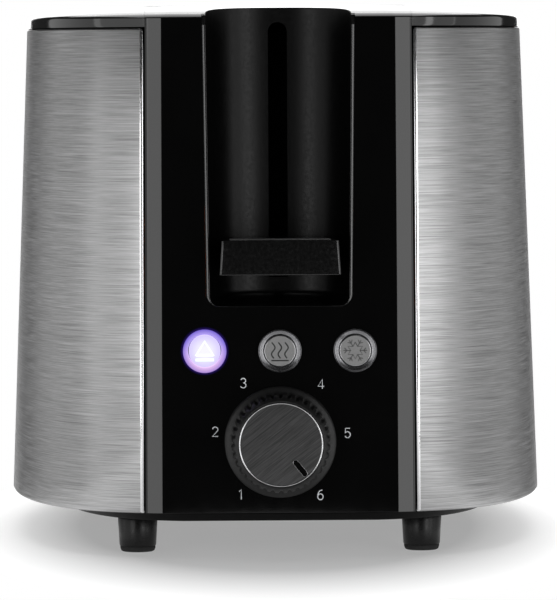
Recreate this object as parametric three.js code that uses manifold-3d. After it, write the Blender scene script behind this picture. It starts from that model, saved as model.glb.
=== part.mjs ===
// Pop-up toaster, millimetres, +Z up, the lever end faces -Y.
// Origin at the centre of the bounding box's bottom face.

import * as THREE from 'three';
import { mergeVertices, toCreasedNormals } from 'three/addons/utils/BufferGeometryUtils.js';
import Module from 'manifold-3d';

const wasm = await Module();
wasm.setup();

// Body envelope
const HALF_WIDTH = 97;
const HALF_LENGTH = 140;
const BOW_LENGTH = 142;
const SIDE_POWER = 4;
const END_POWER = 2.2;
const LEAN = 0.065;
const RING_POINTS = 48;
const SKIRT_Z = 15.3;
const GROOVE_Z = 183;

// GAP is the clearance between neighbours. FAR is past every edge of the body, for cutting boxes.
const GAP = 0.3;
const FAR = 200;
const CROWN = [
  { z: 186.4, scale: 1 },
  { z: 187.8, scale: 0.985 },
  { z: 189.2, scale: 0.93 },
  { z: 190.4, scale: 0.78 },
  { z: 191.2, scale: 0.5 },
];

// Skins
const PLASTIC_WALL = 2.5;
const STEEL_WALL = 1;
const PANEL_HALF = 47;
const PANEL_RETURN_Y = -112;
const REAR_RETURN_Y = 126;
const FLANGE_DEPTH = 7;
const INLET_X = 30;
const INLET_Z = 46;

// Lever channel
const SCOOP_DEPTH = 22;
const SCOOP_POWER = 2.5;
const SCOOP_WALL = 1.5;
const SCOOP_POINTS = 16;
const SCOOP_SECTIONS = [
  { z: 86.7, half: 20, depth: 1 },
  { z: 88.2, half: 22.8, depth: 10 },
  { z: 91, half: 24, depth: 18 },
  { z: 96, half: 24.3, depth: SCOOP_DEPTH },
  { z: 200, half: 26, depth: SCOOP_DEPTH },
];
const SLIT_HALF = 3.3;
const SLIT_BOTTOM = 96;
const SLIT_TOP = 185;

// Bread slots and toasting chamber
const SLOT_X = 28;
const SLOT_WIDTH = 36;
const SLOT_FRONT = -72;
const SLOT_REAR = 78;
const LIP_WALL = 1.8;
const LIP_Z = 176;
const FRONT_BULKHEAD_Y = -78;
const REAR_BULKHEAD_Y = 84;
const CHAMBER_Z = 24;
const CHAMBER_TOP = 182;
const BULKHEAD_HALF = 68;
const SHEET_WALL = 1;
const REFLECTOR_X = 62;
const HEATER_OUTER_X = 53;
const HEATER_INNER_X = 5;
const CARD_BOTTOM = 46;
const CARD_TOP = 166;
const RIBBON_PITCH = 12.5;

// Lever and carriage
const LEVER_Z = 98.4;
const LEVER_HEIGHT = 12;
const LEVER_FRONT = -159;
const LEVER_BACK = -122;
const PLATE_Y = -94;
const PLATE_THICK = 1.5;
const ROD_X = 16;
const ROD_Y = -100;
const ROD_R = 2.2;
const ROD_TOP = 180.2;
const RACK_Z = 39;
const RACK_BARS = 7;
const RACK_PITCH = 22;
const SPRING_X = 29;
const SPRING_LENGTH = 120;
const SPRING_TURNS = 11;

// Bread guides
const GUIDE_PIVOT_Z = 40;
const GUIDE_HEIGHT = 120;
const GUIDE_OUTER_X = 46;
const GUIDE_INNER_X = 11;
const GUIDE_WIRES = 7;
const GUIDE_PITCH = 21;
const GUIDE_LEAN = THREE.MathUtils.degToRad(4);
const WIRE = 1.6;

// Controls
const BUTTON_Z = 71.5;
const BUTTON_PITCH = 26;
const BEZEL_R = 7.5;
const SLEEVE_R = 6.3;
const BUTTON_R = 5.5;
const KNOB_Z = 40;
const KNOB_R = 17;
const SKIRT_R = 19.3;
const KNOB_TEETH = 36;
const KNOB_FRONT = -155;
const FACE_R = 14.4;
const SPINDLE_R = 3;
const BOARD_Y = -124;
const DIAL_REST = THREE.MathUtils.degToRad(52);

// Base
const BASE_BOTTOM = 12.5;
const PLINTH_TOP = 15;
const BASE_TOP = 17;
const BASE_INSET = 2.9;
const PLINTH_WIDTH = 0.84;
const PLINTH_LENGTH = 0.995;
const FOOT_X = 49.8;
const FOOT_FRONT = -115;
const FOOT_REAR = 112;
const PAD_HEIGHT = 1.8;
const SCREW_R = 3;
const SCREW_LOW = 12.7;
const SCREW_HIGH = 13.9;
const TRAY_HALF = 43;
const TRAY_FRONT = -68;
const TRAY_BOTTOM = 15.6;
const TRAY_MOUTH_TOP = 24;
const GRIP_HALF = 26;
const GRIP_REAR = 148;
const REAR_REACH = 150;
const BODY_SHIFT = (-LEVER_FRONT - REAR_REACH) / 2;

const FINISHES = {
  gloss: { color: 0x0b0b0c, roughness: 0.12, metalness: 0 },
  satin: { color: 0x161617, roughness: 0.5, metalness: 0 },
  steel: { color: 0xa3a4a6, roughness: 0.32, metalness: 1 },
  sheet: { color: 0xb4b5b6, roughness: 0.4, metalness: 1 },
  wire: { color: 0xc2c3c4, roughness: 0.3, metalness: 1 },
  mica: { color: 0xb7a27e, roughness: 0.6, metalness: 0 },
  rubber: { color: 0x1b1b1b, roughness: 0.9, metalness: 0 },
  board: { color: 0x1e5a34, roughness: 0.55, metalness: 0 },
  copper: { color: 0xb06a3a, roughness: 0.4, metalness: 1 },
  cap: { color: 0x7f8082, roughness: 0.38, metalness: 0.6 },
};

// Solids

function solidOf(geometry) {
  const bare = geometry.clone();
  bare.deleteAttribute('normal');
  bare.deleteAttribute('uv');
  const welded = mergeVertices(bare, 1e-4);
  const mesh = new wasm.Mesh({
    numProp: 3,
    vertProperties: new Float32Array(welded.attributes.position.array),
    triVerts: new Uint32Array(welded.index.array),
  });
  return new wasm.Manifold(mesh);
}

function geometryOf(solid) {
  const mesh = solid.getMesh();
  const geometry = new THREE.BufferGeometry();
  geometry.setAttribute('position', new THREE.BufferAttribute(new Float32Array(mesh.vertProperties), 3));
  geometry.setIndex(new THREE.BufferAttribute(new Uint32Array(mesh.triVerts), 1));
  return toCreasedNormals(geometry, 0.6);
}

function union(solids) {
  return solids.reduce((sum, solid) => sum.add(solid));
}

function cut(solid, tools) {
  return tools.reduce((rest, tool) => rest.subtract(tool), solid);
}

function box(x0, x1, y0, y1, z0, z1) {
  const geometry = new THREE.BoxGeometry(x1 - x0, y1 - y0, z1 - z0);
  geometry.translate((x0 + x1) / 2, (y0 + y1) / 2, (z0 + z1) / 2);
  return solidOf(geometry);
}

function post(x, y, z0, z1, radiusLow, radiusHigh, segments = 24) {
  const geometry = new THREE.CylinderGeometry(radiusHigh, radiusLow, z1 - z0, segments);
  geometry.rotateX(Math.PI / 2);
  geometry.translate(x, y, (z0 + z1) / 2);
  return solidOf(geometry);
}

function barrel(x, z, y0, y1, radius, segments = 24) {
  const geometry = new THREE.CylinderGeometry(radius, radius, y1 - y0, segments);
  geometry.translate(x, (y0 + y1) / 2, z);
  return solidOf(geometry);
}

// Turns a profile of [radius, y] pairs about a line along Y.
function turned(x, z, profile, segments = 32) {
  const points = profile.map(([radius, y]) => new THREE.Vector2(radius, y));
  const geometry = new THREE.LatheGeometry(points, segments);
  geometry.translate(x, 0, z);
  return solidOf(geometry);
}

// Closed skin through rings that all hold the same number of points.
function loft(rings) {
  const count = rings[0].length;
  const index = [];
  for (let r = 0; r + 1 < rings.length; r += 1) {
    for (let i = 0; i < count; i += 1) {
      const next = (i + 1) % count;
      const low = r * count;
      const high = low + count;
      index.push(low + i, low + next, high + next);
      index.push(low + i, high + next, high + i);
    }
  }
  const flat = rings[0].map((point) => new THREE.Vector2(point.x, point.y));
  const lid = THREE.ShapeUtils.triangulateShape(flat, []);
  const top = (rings.length - 1) * count;
  for (const [a, b, c] of lid) {
    index.push(c, b, a);
    index.push(top + a, top + b, top + c);
  }
  const geometry = new THREE.BufferGeometry().setFromPoints(rings.flat());
  geometry.setIndex(index);
  return solidOf(geometry);
}

function signedPower(value, power) {
  return Math.sign(value) * Math.abs(value) ** power;
}

// Envelope of the body

function bodyRing(z, inset, scale) {
  const ring = [];
  for (let i = 0; i < RING_POINTS; i += 1) {
    const angle = (2 * Math.PI * i) / RING_POINTS;
    const x0 = signedPower(Math.cos(angle), 2 / SIDE_POWER);
    const bowed = BOW_LENGTH * signedPower(Math.sin(angle), 2 / END_POWER);
    const y0 = THREE.MathUtils.clamp(bowed, -HALF_LENGTH, HALF_LENGTH);
    const lean = 1 - (LEAN * x0 * x0 * (z - SKIRT_Z)) / (GROOVE_Z - SKIRT_Z);
    const x = (HALF_WIDTH - inset) * x0 * lean * scale;
    const y = y0 * (1 - inset / HALF_LENGTH) * scale;
    ring.push(new THREE.Vector3(x, y, z));
  }
  return ring;
}

function envelope(inset) {
  const rings = [bodyRing(SKIRT_Z - inset, inset, 1)];
  for (const { z, scale } of CROWN) {
    rings.push(bodyRing(z - inset, inset, scale));
  }
  return loft(rings);
}

function skin(wall) {
  const inner = envelope(wall);
  const throat = loft([bodyRing(-5, wall, 1), bodyRing(SKIRT_Z + 1, wall, 1)]);
  return cut(envelope(0), [inner, throat]);
}

// Lever channel

function scoopRing(section, grow) {
  const ring = [];
  for (let i = 0; i <= SCOOP_POINTS; i += 1) {
    const angle = (Math.PI * i) / SCOOP_POINTS;
    const across = (section.half + grow) * signedPower(Math.cos(angle), 2 / SCOOP_POWER);
    const back = (section.depth + grow) * Math.sin(angle) ** (2 / SCOOP_POWER);
    ring.push(new THREE.Vector3(across, back - HALF_LENGTH, section.z - grow));
  }
  ring.push(new THREE.Vector3(-section.half - grow, -HALF_LENGTH - 8, section.z - grow));
  ring.push(new THREE.Vector3(section.half + grow, -HALF_LENGTH - 8, section.z - grow));
  return ring;
}

function scoop(grow) {
  return loft(SCOOP_SECTIONS.map((section) => scoopRing(section, grow)));
}

function leverChannel() {
  const lining = envelope(0).intersect(scoop(SCOOP_WALL));
  const slit = box(-SLIT_HALF, SLIT_HALF, -125, -110, SLIT_BOTTOM, SLIT_TOP);
  return cut(lining, [scoop(0), slit]);
}

// Skins

function slotBlock(side, grow, bottom) {
  const x = side * SLOT_X;
  const half = SLOT_WIDTH / 2 + grow;
  return box(x - half, x + half, SLOT_FRONT - grow, SLOT_REAR + grow, bottom, FAR);
}

function topCover() {
  const body = envelope(0);
  const band = box(-FAR, FAR, -FAR, FAR, GROOVE_Z + GAP, FAR);
  const lips = [-1, 1].map((side) => slotBlock(side, LIP_WALL, LIP_Z).intersect(body));
  const shell = union([skin(PLASTIC_WALL).intersect(band), ...lips]);
  const notch = box(-PANEL_HALF, PANEL_HALF, -FAR, PANEL_RETURN_Y + GAP, 150, FAR);
  return cut(shell, [slotBlock(-1, 0, 100), slotBlock(1, 0, 100), notch]);
}

function controlHoles() {
  const holes = [barrel(0, KNOB_Z, -150, -130, SPINDLE_R + 1)];
  for (const step of [-1, 0, 1]) {
    holes.push(barrel(step * BUTTON_PITCH, BUTTON_Z, -150, -130, SLEEVE_R + GAP));
  }
  return holes;
}

function frontPanel() {
  const edge = PANEL_HALF - GAP;
  const zone = box(-edge, edge, -FAR, PANEL_RETURN_Y, SKIRT_Z - 1, FAR);
  const wall = skin(PLASTIC_WALL).intersect(zone);
  return cut(wall, [scoop(SCOOP_WALL + GAP), ...controlHoles()]);
}

function rearPanel() {
  const edge = PANEL_HALF - GAP;
  const zone = box(-edge, edge, REAR_RETURN_Y, FAR, SKIRT_Z - 1, GROOVE_Z);
  const wall = skin(PLASTIC_WALL).intersect(zone);
  const trayMouth = box(-TRAY_HALF - 1, TRAY_HALF + 1, 120, 150, 0, TRAY_MOUTH_TOP);
  return cut(wall, [trayMouth, barrel(INLET_X, INLET_Z, 130, 150, SLEEVE_R + GAP)]);
}

function sideShell(side) {
  const x0 = side > 0 ? PANEL_HALF : -FAR;
  const x1 = side > 0 ? FAR : -PANEL_HALF;
  const sheet = skin(STEEL_WALL).intersect(box(x0, x1, -FAR, FAR, SKIRT_Z - 1, GROOVE_Z));
  const flangeX = side > 0 ? PANEL_HALF : -PANEL_HALF - STEEL_WALL;
  const reach = HALF_LENGTH - FLANGE_DEPTH;
  const flanges = [
    box(flangeX, flangeX + STEEL_WALL, -FAR, -reach, SKIRT_Z, GROOVE_Z),
    box(flangeX, flangeX + STEEL_WALL, reach, FAR, SKIRT_Z, GROOVE_Z),
  ];
  return union([sheet, ...flanges.map((flange) => flange.intersect(envelope(0)))]);
}

// Base

function baseFrame() {
  const plinth = [BASE_BOTTOM, PLINTH_TOP].map((z) => {
    return bodyRing(z, 0, 1).map(({ x, y }) => new THREE.Vector3(x * PLINTH_WIDTH, y * PLINTH_LENGTH, z));
  });
  const floor = [PLINTH_TOP - 0.1, BASE_TOP].map((z) => bodyRing(z, BASE_INSET, 1));
  const trayHalf = TRAY_HALF + 1;
  const ribs = [-1, 1].map((side) => {
    const x = side * (trayHalf + 1);
    return box(x - 1, x + 1, TRAY_FRONT - 2, 132, BASE_TOP - 1, 22);
  });
  const tools = [box(-trayHalf, trayHalf, TRAY_FRONT - 2, FAR, SKIRT_Z, 30)];
  for (const x of [-PANEL_HALF, PANEL_HALF]) {
    tools.push(box(x - 1.5, x + 1.5, -FAR, -132, PLINTH_TOP, 30));
    tools.push(box(x - 1.5, x + 1.5, 132, FAR, PLINTH_TOP, 30));
  }
  for (const [x, y] of screwPlaces()) {
    tools.push(post(x, y, 5, SCREW_HIGH + GAP, SCREW_R + GAP, SCREW_R + GAP, 12));
  }
  return cut(union([loft(plinth), loft(floor), ...ribs]), tools);
}

function footPlaces() {
  return [
    ['front_left', -FOOT_X, FOOT_FRONT],
    ['front_right', FOOT_X, FOOT_FRONT],
    ['rear_left', -FOOT_X, FOOT_REAR],
    ['rear_right', FOOT_X, FOOT_REAR],
  ];
}

function screwPlaces() {
  return footPlaces().map(([, x, y]) => [x * 0.5, y * 0.9]);
}

function crumbTray() {
  const reach = HALF_LENGTH - PLASTIC_WALL;
  const half = TRAY_HALF - SHEET_WALL;
  const floor = TRAY_BOTTOM + SHEET_WALL;
  const pan = box(-TRAY_HALF, TRAY_HALF, TRAY_FRONT, reach, TRAY_BOTTOM, 20);
  const hollow = box(-half, half, TRAY_FRONT + SHEET_WALL, reach - SHEET_WALL, floor, 30);
  const face = box(-TRAY_HALF, TRAY_HALF, reach - 1.5, HALF_LENGTH - 0.5, TRAY_BOTTOM, TRAY_MOUTH_TOP - GAP);
  const grip = box(-GRIP_HALF, GRIP_HALF, HALF_LENGTH - 1, GRIP_REAR, 17, 23.4);
  const scallop = box(2 - GRIP_HALF, GRIP_HALF - 2, HALF_LENGTH + 1, GRIP_REAR - 1, 10, 22);
  return cut(union([pan.subtract(hollow), face, grip]), [scallop]);
}

// Toasting chamber

function bulkheadTabs(y) {
  return [-55, 55].map((x) => box(x - 5, x + 5, y, y + SHEET_WALL, BASE_TOP + GAP, CHAMBER_Z + 1));
}

function bulkhead(y) {
  const plate = box(-BULKHEAD_HALF, BULKHEAD_HALF, y, y + SHEET_WALL, CHAMBER_Z, CHAMBER_TOP);
  return union([plate, ...bulkheadTabs(y)]);
}

function frontBulkhead() {
  const y = FRONT_BULKHEAD_Y;
  const slots = [-1, 1].map((side) => {
    return box(side * SLOT_X - 3, side * SLOT_X + 3, y - 5, y + 5, 33, 120);
  });
  return cut(bulkhead(y), slots);
}

function rearBulkhead() {
  const y = REAR_BULKHEAD_Y;
  const vents = [-40, 0, 40].map((x) => box(x - 12, x + 12, y - 5, y + 5, 60, 66));
  return cut(bulkhead(y), vents);
}

function reflector(side) {
  const x = side * REFLECTOR_X;
  const y0 = FRONT_BULKHEAD_Y + SHEET_WALL + GAP;
  const y1 = REAR_BULKHEAD_Y - GAP;
  const wall = box(x - 0.5, x + 0.5, y0, y1, CHAMBER_Z, CHAMBER_TOP - 8);
  const inward = x - side * 5;
  const ledge = box(Math.min(x, inward), Math.max(x, inward), y0, y1, CHAMBER_Z, CHAMBER_Z + SHEET_WALL);
  return union([wall, ledge]);
}

function heaterCard(x, faceSide) {
  const card = box(x - 0.6, x + 0.6, SLOT_FRONT - 2, SLOT_REAR + 2, CARD_BOTTOM, CARD_TOP);
  const ribbons = [];
  for (let z = CARD_BOTTOM + 10; z <= CARD_TOP - 10; z += RIBBON_PITCH) {
    const ribbonX = x + faceSide * 0.8;
    ribbons.push(box(ribbonX - 0.5, ribbonX + 0.5, SLOT_FRONT + 2, SLOT_REAR - 2, z, z + 2));
  }
  return union([card, ...ribbons]);
}

function breadGuide() {
  const y0 = FRONT_BULKHEAD_Y + 2;
  const y1 = REAR_BULKHEAD_Y - 1;
  const half = WIRE / 2;
  const wires = [
    box(-half, half, y0, y1, -half, half),
    box(-half, half, -68, 74, GUIDE_HEIGHT - WIRE, GUIDE_HEIGHT),
  ];
  for (let i = 0; i < GUIDE_WIRES; i += 1) {
    const y = -60 + i * GUIDE_PITCH;
    wires.push(box(-half, half, y - half, y + half, 0, GUIDE_HEIGHT - half));
  }
  return union(wires);
}

function breadRack(side) {
  const x = side * SLOT_X;
  const parts = [box(x - 1.5, x + 1.5, PLATE_Y + PLATE_THICK + GAP, 76, RACK_Z - 3, RACK_Z + 1)];
  for (let i = 0; i < RACK_BARS; i += 1) {
    const y = (i - (RACK_BARS - 1) / 2) * RACK_PITCH;
    parts.push(box(x - 13, x + 13, y - 1.2, y + 1.2, RACK_Z, RACK_Z + 2));
  }
  return union(parts);
}

// Lever mechanism

function carriagePlate() {
  const y0 = PLATE_Y;
  const y1 = PLATE_Y + PLATE_THICK;
  const parts = [
    box(-36, 36, y0, y1, 33, 58),
    box(-5, 5, y0, y1, 50, 108),
    box(-8, 8, -109, y0 + 1, 31.3, 33.3),
  ];
  for (const side of [-1, 1]) {
    parts.push(box(side * ROD_X - 5, side * ROD_X + 5, -105, y0 + 1, 38, 54));
  }
  const bores = [-1, 1].map((side) => post(side * ROD_X, ROD_Y, 30, 60, ROD_R + GAP, ROD_R + GAP, 16));
  return cut(union(parts), bores);
}

function topBracket() {
  const plate = box(-40, 40, ROD_Y - 5, FRONT_BULKHEAD_Y - GAP, ROD_TOP + GAP, CHAMBER_TOP);
  return cut(plate, [box(-9, 9, -110, -86, 170, 190)]);
}

class Helix extends THREE.Curve {
  constructor(radius, length, turns) {
    super();
    this.radius = radius;
    this.length = length;
    this.turns = turns;
  }

  getPoint(t) {
    const angle = 2 * Math.PI * this.turns * t;
    const x = this.radius * Math.cos(angle);
    const y = this.radius * Math.sin(angle);
    return new THREE.Vector3(x, y, this.length * t);
  }
}

function returnSpring() {
  const wire = new THREE.Shape();
  wire.absarc(0, 0, 0.6, 0, 2 * Math.PI, false);
  const geometry = new THREE.ExtrudeGeometry(wire, {
    steps: SPRING_TURNS * 7,
    curveSegments: 3,
    bevelEnabled: false,
    extrudePath: new Helix(3.2, SPRING_LENGTH, SPRING_TURNS),
  });
  geometry.translate(SPRING_X, ROD_Y + 5, 59);
  return solidOf(geometry);
}

function leverHandle() {
  const plan = new THREE.Shape();
  plan.moveTo(-14.6, LEVER_BACK);
  plan.lineTo(-19.6, LEVER_FRONT + 2.6);
  plan.quadraticCurveTo(-19.8, LEVER_FRONT + 1, -17.8, LEVER_FRONT + 0.9);
  plan.quadraticCurveTo(0, LEVER_FRONT - 0.7, 17.8, LEVER_FRONT + 0.9);
  plan.quadraticCurveTo(19.8, LEVER_FRONT + 1, 19.6, LEVER_FRONT + 2.6);
  plan.lineTo(14.6, LEVER_BACK);
  plan.closePath();
  const edge = 0.9;
  const geometry = new THREE.ExtrudeGeometry(plan, {
    depth: LEVER_HEIGHT - 2 * edge,
    bevelSize: edge,
    bevelThickness: edge,
    bevelSegments: 2,
    curveSegments: 6,
  });
  geometry.translate(0, 0, LEVER_Z + edge);
  const trim = box(-30, 30, LEVER_FRONT, LEVER_BACK, 90, 120);
  return solidOf(geometry).intersect(trim);
}

// Controls

function buttonBezel(x) {
  const profile = [
    [5.8, -141.2],
    [6.9, -141.6],
    [BEZEL_R, -141],
    [BEZEL_R, -140.3],
    [SLEEVE_R, -140.3],
    [SLEEVE_R, -134],
    [5.8, -134],
    [5.8, -141.2],
  ];
  return turned(x, BUTTON_Z, profile, 24);
}

function buttonCap(x) {
  const profile = [
    [0, -141.5],
    [5, -141.4],
    [BUTTON_R, -140.9],
    [BUTTON_R, -136],
    [2, -136],
    [2, -129.2],
    [0, -129.2],
  ];
  return turned(x, BUTTON_Z, profile, 24);
}

function knobRing(y, deep) {
  const ring = [];
  for (let i = 0; i < 2 * KNOB_TEETH; i += 1) {
    const angle = (Math.PI * i) / KNOB_TEETH;
    const radius = i % 2 === 0 ? KNOB_R : KNOB_R - deep;
    ring.push(new THREE.Vector3(radius * Math.cos(angle), radius * Math.sin(angle), y));
  }
  return ring;
}

function knobBody() {
  const grip = loft([knobRing(0, 0.9), knobRing(9.5, 0.9)]);
  const upright = geometryOf(grip);
  upright.rotateX(Math.PI / 2);
  upright.translate(0, -143, KNOB_Z);
  const skirt = turned(0, KNOB_Z, [
    [0, -154.6],
    [14.7, -154.6],
    [15.2, KNOB_FRONT],
    [15.8, -154.6],
    [15.8, -143.8],
    [18.4, -143.4],
    [SKIRT_R, -142.2],
    [SKIRT_R, -140.5],
    [0, -140.5],
  ], 36);
  const recess = barrel(0, KNOB_Z, -160, -154, FACE_R + GAP, 36);
  const bore = barrel(0, KNOB_Z, -151, -135, SPINDLE_R + GAP);
  return cut(union([skirt, solidOf(upright)]), [recess, bore]);
}

function knobFace() {
  return turned(0, KNOB_Z, [
    [0, -154.7],
    [FACE_R - 0.5, -154.7],
    [FACE_R, -154.3],
    [FACE_R, -154],
    [0, -154],
  ], 36);
}

function indicator() {
  const half = 2.3;
  const slot = new THREE.Shape();
  slot.absarc(half, 0, 0.9, -Math.PI / 2, Math.PI / 2, false);
  slot.absarc(-half, 0, 0.9, Math.PI / 2, 1.5 * Math.PI, false);
  const geometry = new THREE.ExtrudeGeometry(slot, { depth: 4, bevelEnabled: false, curveSegments: 8 });
  geometry.translate(10.2, 0, 0);
  geometry.rotateZ(-DIAL_REST);
  geometry.rotateX(Math.PI / 2);
  geometry.translate(0, -153, KNOB_Z);
  return solidOf(geometry);
}

function controlBoard() {
  return box(-42, 42, BOARD_Y, BOARD_Y + 1.6, 20, 83);
}

function potentiometer() {
  const can = box(-8, 8, -133, BOARD_Y - GAP, KNOB_Z - 8, KNOB_Z + 8);
  return cut(can, [barrel(0, KNOB_Z, -140, -127, SPINDLE_R + GAP)]);
}

function pushSwitch(x) {
  return box(x - 3, x + 3, BOARD_Y - 3, BOARD_Y - GAP, BUTTON_Z - 3, BUTTON_Z + 3);
}

function electromagnet() {
  const yoke = box(-9, 9, -110, -98, BASE_TOP + GAP, 20);
  const poles = [-1, 1].map((side) => box(side * 6 - 2.5, side * 6 + 2.5, -108, -100, 19, 28));
  return union([yoke, ...poles]);
}

function contactBlock() {
  const block = box(24, 40, -110, -98, BASE_TOP + GAP, 26);
  const fingers = [28, 36].map((x) => box(x - 1.5, x + 1.5, -108, -100, 25, 31));
  return union([block, ...fingers]);
}

function cordInlet() {
  return turned(INLET_X, INLET_Z, [
    [0, 137],
    [SLEEVE_R, 137],
    [SLEEVE_R, 140.3],
    [9, 140.3],
    [9, 142.5],
    [6, 144],
    [5, REAR_REACH],
    [3.4, REAR_REACH],
    [3.4, 139],
    [0, 139],
  ], 20);
}

// Assembly

function put(parent, name, solid, finish) {
  const mesh = new THREE.Mesh(geometryOf(solid), new THREE.MeshStandardMaterial(FINISHES[finish]));
  mesh.name = name;
  parent.add(mesh);
  return mesh;
}

function group(parent, name) {
  const made = new THREE.Group();
  made.name = name;
  parent.add(made);
  return made;
}

function addHousing(parent) {
  put(parent, 'top_cover', topCover(), 'gloss');
  put(parent, 'front_panel', frontPanel(), 'gloss');
  put(parent, 'lever_channel', leverChannel(), 'satin');
  put(parent, 'rear_panel', rearPanel(), 'gloss');
  put(parent, 'left_side_shell', sideShell(-1), 'steel');
  put(parent, 'right_side_shell', sideShell(1), 'steel');
  put(parent, 'base_frame', baseFrame(), 'satin');
  for (const [place, x, y] of footPlaces()) {
    put(parent, `foot_${place}`, post(x, y, PAD_HEIGHT + GAP, BASE_BOTTOM - GAP, 6.4, 7), 'satin');
    put(parent, `foot_pad_${place}`, post(x, y, 0, PAD_HEIGHT, 5.6, 5.9), 'rubber');
  }
  screwPlaces().forEach(([x, y], i) => {
    put(parent, `base_screw_${i + 1}`, post(x, y, SCREW_LOW, SCREW_HIGH, SCREW_R, SCREW_R, 16), 'wire');
  });
  put(parent, 'cord_inlet', cordInlet(), 'rubber');
}

function addChamber(parent) {
  put(parent, 'front_bulkhead', frontBulkhead(), 'sheet');
  put(parent, 'rear_bulkhead', rearBulkhead(), 'sheet');
  put(parent, 'left_reflector', reflector(-1), 'sheet');
  put(parent, 'right_reflector', reflector(1), 'sheet');
  put(parent, 'heater_outer_left', heaterCard(-HEATER_OUTER_X, 1), 'mica');
  put(parent, 'heater_inner_left', heaterCard(-HEATER_INNER_X, -1), 'mica');
  put(parent, 'heater_inner_right', heaterCard(HEATER_INNER_X, 1), 'mica');
  put(parent, 'heater_outer_right', heaterCard(HEATER_OUTER_X, -1), 'mica');
}

function addMechanism(parent) {
  for (const [place, side] of [['left', -1], ['right', 1]]) {
    const rod = post(side * ROD_X, ROD_Y, BASE_TOP + GAP, ROD_TOP, ROD_R, ROD_R, 12);
    put(parent, `guide_rod_${place}`, rod, 'wire');
  }
  put(parent, 'rod_bracket', topBracket(), 'sheet');
  put(parent, 'return_spring', returnSpring(), 'wire');
  put(parent, 'electromagnet', electromagnet(), 'copper');
  put(parent, 'contact_block', contactBlock(), 'satin');
  put(parent, 'control_board', controlBoard(), 'board');
  put(parent, 'potentiometer', potentiometer(), 'sheet');
}

function addCarriage(parent) {
  put(parent, 'carriage_plate', carriagePlate(), 'sheet');
  put(parent, 'lever_arm', box(-2.2, 2.2, LEVER_BACK + GAP, PLATE_Y - GAP, 100, 108), 'sheet');
  put(parent, 'lever_handle', leverHandle(), 'gloss');
  put(parent, 'magnet_keeper', box(-8, 8, -109, -100, 28.3, 31), 'sheet');
  put(parent, 'bread_rack_left', breadRack(-1), 'wire');
  put(parent, 'bread_rack_right', breadRack(1), 'wire');
}

function addButtons(parent) {
  const names = ['cancel', 'reheat', 'defrost'];
  names.forEach((name, i) => {
    const x = (i - 1) * BUTTON_PITCH;
    put(parent, `${name}_bezel`, buttonBezel(x), 'cap');
    put(parent, `${name}_switch`, pushSwitch(x), 'satin');
    put(parent, `${name}_button`, buttonCap(x), 'cap');
  });
}

function addKnob(parent) {
  put(parent, 'browning_knob', knobBody(), 'satin');
  put(parent, 'knob_face', knobFace().subtract(indicator()), 'cap');
  put(parent, 'knob_spindle', barrel(0, KNOB_Z, -150.5, -127.3, SPINDLE_R, 16), 'sheet');
}

function addGuides(parent) {
  const places = [
    ['outer_left', -GUIDE_OUTER_X, 1],
    ['inner_left', -GUIDE_INNER_X, -1],
    ['inner_right', GUIDE_INNER_X, 1],
    ['outer_right', GUIDE_OUTER_X, -1],
  ];
  for (const [place, x, towards] of places) {
    const guide = put(parent, `bread_guide_${place}`, breadGuide(), 'wire');
    guide.position.set(x, 0, GUIDE_PIVOT_Z);
    guide.rotation.y = towards * GUIDE_LEAN;
  }
}

const toaster = new THREE.Group();
toaster.name = 'pop_up_toaster';
const body = group(toaster, 'body');
body.position.y = BODY_SHIFT;
addHousing(group(body, 'housing'));
addChamber(group(body, 'chamber'));
addMechanism(group(body, 'mechanism'));
addCarriage(group(body, 'carriage'));
addButtons(group(body, 'buttons'));
addKnob(group(body, 'knob'));
addGuides(group(body, 'bread_guides'));
put(group(body, 'tray'), 'crumb_tray', crumbTray(), 'sheet');

export default toaster;
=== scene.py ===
"""Looks for the pop-up toaster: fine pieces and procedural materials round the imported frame."""

import math

import bmesh
import bpy
from mathutils import Euler, Matrix, Vector


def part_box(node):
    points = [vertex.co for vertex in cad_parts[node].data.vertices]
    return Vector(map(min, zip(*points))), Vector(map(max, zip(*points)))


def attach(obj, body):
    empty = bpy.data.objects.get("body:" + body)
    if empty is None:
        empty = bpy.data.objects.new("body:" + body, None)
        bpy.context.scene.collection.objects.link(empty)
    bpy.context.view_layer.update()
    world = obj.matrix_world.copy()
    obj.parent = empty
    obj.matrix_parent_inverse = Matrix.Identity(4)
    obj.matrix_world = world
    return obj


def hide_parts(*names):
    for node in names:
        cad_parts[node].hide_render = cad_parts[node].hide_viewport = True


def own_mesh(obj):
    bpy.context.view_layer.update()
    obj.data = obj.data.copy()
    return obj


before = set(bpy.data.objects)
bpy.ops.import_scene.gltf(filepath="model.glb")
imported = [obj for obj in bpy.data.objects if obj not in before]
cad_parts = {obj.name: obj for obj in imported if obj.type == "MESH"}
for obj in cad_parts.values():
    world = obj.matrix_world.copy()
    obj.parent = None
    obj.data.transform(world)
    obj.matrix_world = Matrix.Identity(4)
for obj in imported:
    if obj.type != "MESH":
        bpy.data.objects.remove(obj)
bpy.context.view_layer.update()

# ---------------------------------------------------------------- places
MM = 0.001
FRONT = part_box("front_panel")[0][1]
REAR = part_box("rear_panel")[1][1]
MID_Y = (FRONT + REAR) / 2

HALF_WIDTH = 97
HALF_LENGTH = 140
BOW_LENGTH = 142
SIDE_POWER = 4
END_POWER = 2.2
LEAN = 0.065
SKIRT_Z = 15.3
GROOVE_Z = 183
BAND_Z = 186.4
CROWN_RISE = 4.8
CROWN_HALF = 90.7
CROWN_STEPS = 22
CAP_WALL = 2.6
PANEL_HALF = 47
PANEL_EDGE = 46.7
PANEL_REAR = 112.2
PANEL_WALL = 2.4
SLOT_X = 28
SLOT_HALF = 18
SLOT_FRONT = -72
SLOT_REAR = 78

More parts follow.
